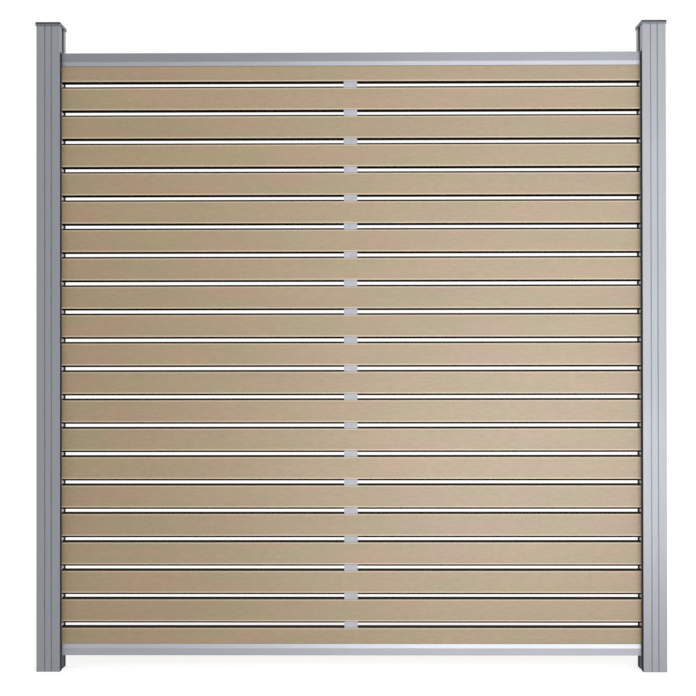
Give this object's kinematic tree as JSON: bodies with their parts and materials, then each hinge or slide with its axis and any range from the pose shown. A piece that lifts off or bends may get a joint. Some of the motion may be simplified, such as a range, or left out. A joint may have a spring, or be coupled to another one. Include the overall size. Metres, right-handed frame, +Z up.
{
  "type": "garden privacy screen",
  "caption": "Free-standing bay of a garden privacy screen: horizontal wood-plastic slats with open gaps between two slotted, capped aluminium posts, held by spacers and aluminium rails.",
  "frame": {"origin": "on the ground, midway between the two posts and at the middle of their depth", "axes": "+X along the screen to the viewer's right, +Z up, the front faces -Y"},
  "size_m": [1.8744, 0.0744, 1.932],
  "materials": {
    "wood_plastic": "brushed, matt, sand-coloured wood-plastic",
    "anodised_aluminium": "matt silver anodised",
    "grey_plastic": "matt silver-grey",
    "pale_plastic": "matt, pale",
    "dark_plastic": "matt, dark grey",
    "stainless_steel": "plain stainless"
  },
  "bodies": {
    "root": {"post_left": "anodised_aluminium", "post_right": "anodised_aluminium", "cap_left": "anodised_aluminium", "cap_right": "anodised_aluminium", "rail_lower": "anodised_aluminium", "rail_upper": "anodised_aluminium", "slat_01": "wood_plastic", "slat_02": "wood_plastic", "slat_03": "wood_plastic", "slat_04": "wood_plastic", "slat_05": "wood_plastic", "slat_06": "wood_plastic", "slat_07": "wood_plastic", "slat_08": "wood_plastic", "slat_09": "wood_plastic", "slat_10": "wood_plastic", "slat_11": "wood_plastic", "slat_12": "wood_plastic", "slat_13": "wood_plastic", "slat_14": "wood_plastic", "slat_15": "wood_plastic", "slat_16": "wood_plastic", "slat_17": "wood_plastic", "slat_18": "wood_plastic", "slat_19": "wood_plastic", "slat_20": "wood_plastic", "slat_21": "wood_plastic", "centre_spacer_01": "grey_plastic", "centre_spacer_02": "grey_plastic", "centre_spacer_03": "grey_plastic", "centre_spacer_04": "grey_plastic", "centre_spacer_05": "grey_plastic", "centre_spacer_06": "grey_plastic", "centre_spacer_07": "grey_plastic", "centre_spacer_08": "grey_plastic", "centre_spacer_09": "grey_plastic", "centre_spacer_10": "grey_plastic", "centre_spacer_11": "grey_plastic", "centre_spacer_12": "grey_plastic", "centre_spacer_13": "grey_plastic", "centre_spacer_14": "grey_plastic", "centre_spacer_15": "grey_plastic", "centre_spacer_16": "grey_plastic", "centre_spacer_17": "grey_plastic", "centre_spacer_18": "grey_plastic", "centre_spacer_19": "grey_plastic", "centre_spacer_20": "grey_plastic", "end_spacers_left": "pale_plastic", "end_spacers_right": "pale_plastic", "support_block_left": "dark_plastic", "support_block_right": "dark_plastic", "rail_connector_lower_left": "anodised_aluminium", "rail_connector_lower_right": "anodised_aluminium", "rail_connector_upper_left": "anodised_aluminium", "rail_connector_upper_right": "anodised_aluminium", "rail_screws_lower": "stainless_steel", "rail_screws_upper": "stainless_steel"}
  },
  "joints": []
}
